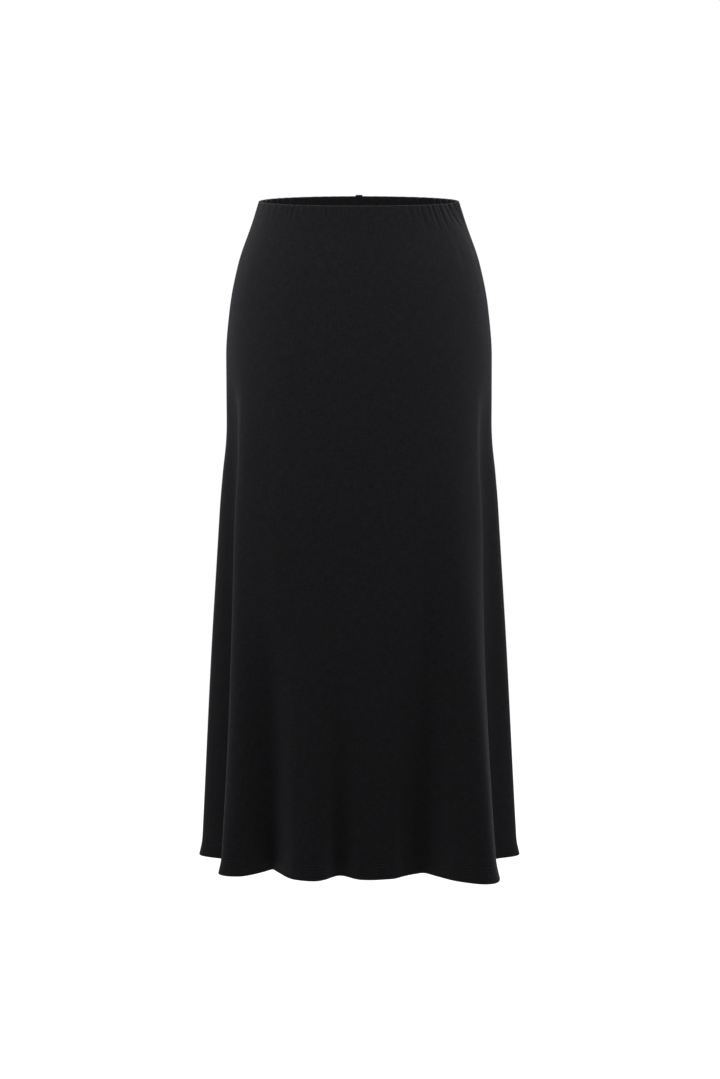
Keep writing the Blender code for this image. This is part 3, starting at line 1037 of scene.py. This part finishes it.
class SKIRT_OT_casing_details(bpy.types.Operator):
    """Overlock the casing's raw edge and fold its join at the centre back"""

    bl_idname = "skirt.casing_details"
    bl_label = "Casing edge and join"

    def execute(self, context):
        cut = context.scene.skirt_cut
        zigzag = zigzag_tree(material_named("black_thread"))
        edges = []
        for side, seams in PANELS.items():
            turns = np.linspace(seams[0] + 0.0012, seams[1] - 0.0012, 700)
            inset = 2.0 * cut.waist_fold + 0.0001
            points, _, _ = cloth_row(cut, CASING_DEPTH - 0.0018, turns, inset)
            down = np.tile([0.0, 0.0, -1.0], (len(points), 1))
            line = line_object(side + "_casing_edge", points, down)
            values = {"Pitch": 0.0023, "Half Width": 0.0021, "Thread Radius": cut.thread_radius}
            edges.append(sew(line, zigzag, values))
        overlock = joined("casing_overlock", edges)
        rows = []
        places = []
        for drop in np.linspace(-0.0016, CASING_DEPTH, 40):
            across = np.linspace(-JOIN_HALF_WIDTH, JOIN_HALF_WIDTH, 15)
            hump = 0.0011 * np.cos(0.5 * math.pi * across / 0.0034) ** 0.7
            hump = hump - 0.00045 * soft_bump(np.abs(across), 0.0012)
            inset = 2.0 * cut.waist_fold + hump
            turns = 0.5 + across / walk_per_turn(cut, drop, 0.5)
            row, _, _ = cloth_row(cut, drop, turns, inset)
            row[:, 2] = -drop - 0.0004 * (across / JOIN_HALF_WIDTH) ** 2
            rows.append(row)
            places.append(np.stack([across, np.full(15, drop)], axis=1))
        join = show(grid_mesh("casing_join_fold", rows, places), material_named("black_jersey"))
        join.data.flip_normals()
        add_wall(join, 0.0011)
        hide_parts("casing_join")
        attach(join, "root")
        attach(overlock, "root")
        return {"FINISHED"}


class SKIRT_OT_declare_cloth(bpy.types.Operator):
    """Work out the flat size and area of the two panels' cuts, without keeping the results"""

    bl_idname = "skirt.declare_cloth"
    bl_label = "State the cut"

    def execute(self, context):
        cut = context.scene.skirt_cut
        flat_size(cut, PANELS["front"])
        flat_area(cut, PANELS["front"])
        flat_size(cut, PANELS["back"])
        flat_area(cut, PANELS["back"])
        return {"FINISHED"}


class SKIRT_OT_stage(bpy.types.Operator):
    """Set the pale floor, the soft studio lights and the camera"""

    bl_idname = "skirt.stage"
    bl_label = "Studio"

    def execute(self, context):
        stage = context.scene.skirt_stage
        scene = context.scene
        bpy.ops.mesh.primitive_circle_add(
            vertices=96, radius=stage.floor_radius, fill_type="NGON", location=(0.0, 1.0, -stage.floor_drop)
        )
        floor = context.object
        floor.name = "floor"
        floor.data.materials.append(floor_material(stage))
        scene.world = self.white_studio(stage)

        middle = Vector((0.0, 0.0, -0.40))
        self.soft_light("key", (0.0, -1.1, 1.45), middle, 2.4, 1.0, stage.key_power)
        below = Vector((0.0, 0.0, -0.45))
        self.soft_light("left_side", (-1.4, -0.12, -0.3), below, 1.2, 1.2, stage.side_power)
        self.soft_light("right_side", (1.4, -0.12, -0.3), below, 1.2, 1.2, stage.side_power)
        self.soft_light("top", (0.0, 1.8, 2.4), Vector((0.0, 1.8, -1.45)), 4.0, 3.2, stage.top_power)
        waist = Vector((0.0, 0.1, -0.12))
        front = self.soft_light("front", (0.0, -1.8, 0.55), waist, 1.0, 0.5, stage.front_power)
        front.data.spread = math.radians(60.0)

        camera_data = bpy.data.cameras.new("camera")
        camera_data.lens = stage.lens
        camera_data.sensor_width = 36.0
        camera_data.shift_x = 1.0 / 1079.0
        camera_data.clip_start = 0.05
        camera_data.clip_end = 100.0
        camera = bpy.data.objects.new("camera", camera_data)
        scene.collection.objects.link(camera)
        camera.location = (0.0, -stage.camera_distance, stage.camera_height)
        aim = Vector((0.0, 0.0, -stage.aim_drop)) - camera.location
        camera.rotation_euler = aim.to_track_quat("-Z", "Y").to_euler()
        scene.camera = camera
        scene.view_settings.view_transform = "Standard"
        return {"FINISHED"}

    def white_studio(self, stage):
        """A world that looks white and lights the scene more softly than it looks."""
        world = bpy.data.worlds.new("white_studio")
        world.use_nodes = True
        tree = world.node_tree
        light = tree.nodes["Background"]
        light.inputs["Color"].default_value = (1.0, 1.0, 1.0, 1.0)
        light.inputs["Strength"].default_value = stage.surround
        white = tree.nodes.new("ShaderNodeBackground")
        white.inputs["Color"].default_value = (1.0, 1.0, 1.0, 1.0)
        white.inputs["Strength"].default_value = 1.0
        rays = tree.nodes.new("ShaderNodeLightPath")
        mix = tree.nodes.new("ShaderNodeMixShader")
        tree.links.new(rays.outputs["Is Camera Ray"], mix.inputs[0])
        tree.links.new(light.outputs[0], mix.inputs[1])
        tree.links.new(white.outputs[0], mix.inputs[2])
        tree.links.new(mix.outputs[0], tree.nodes["World Output"].inputs["Surface"])
        return world

    def soft_light(self, name, place, towards, width, height, power):
        """A large rectangular light that faces a point."""
        data = bpy.data.lights.new(name, "AREA")
        data.shape = "RECTANGLE"
        data.size = width
        data.size_y = height
        data.energy = power
        light = bpy.data.objects.new(name, data)
        bpy.context.scene.collection.objects.link(light)
        light.location = place
        light.rotation_euler = (towards - light.location).to_track_quat("-Z", "Y").to_euler()
        light.visible_camera = False
        return light


class SKIRT_PT_sidebar(bpy.types.Panel):
    """The skirt's pieces and their sizes"""

    bl_idname = "SKIRT_PT_sidebar"
    bl_label = "A-line Skirt"
    bl_space_type = "VIEW_3D"
    bl_region_type = "UI"
    bl_category = "Skirt"

    def draw(self, context):
        for operator in OPERATORS:
            self.layout.operator(operator.bl_idname)
        scene = context.scene
        for group in (scene.skirt_cut, scene.skirt_finish, scene.skirt_stage):
            box = self.layout.box()
            for name in group.__annotations__:
                box.prop(group, name)


OPERATORS = (
    SKIRT_OT_finishes,
    SKIRT_OT_panels,
    SKIRT_OT_seam_allowances,
    SKIRT_OT_hem_stitching,
    SKIRT_OT_casing_details,
    SKIRT_OT_declare_cloth,
    SKIRT_OT_stage,
)
CLASSES = (SkirtCut, SkirtFinish, SkirtStage, *OPERATORS, SKIRT_PT_sidebar)


def register():
    for item in CLASSES:
        bpy.utils.register_class(item)
    bpy.types.Scene.skirt_cut = PointerProperty(type=SkirtCut)
    bpy.types.Scene.skirt_finish = PointerProperty(type=SkirtFinish)
    bpy.types.Scene.skirt_stage = PointerProperty(type=SkirtStage)


def unregister():
    del bpy.types.Scene.skirt_stage
    del bpy.types.Scene.skirt_finish
    del bpy.types.Scene.skirt_cut
    for item in reversed(CLASSES):
        bpy.utils.unregister_class(item)


def main():
    register()
    bpy.ops.skirt.finishes()
    bpy.ops.skirt.panels()
    bpy.ops.skirt.seam_allowances()
    bpy.ops.skirt.hem_stitching()
    bpy.ops.skirt.casing_details()
    bpy.ops.skirt.declare_cloth()
    bpy.ops.skirt.stage()


if __name__ == "__main__":
    main()
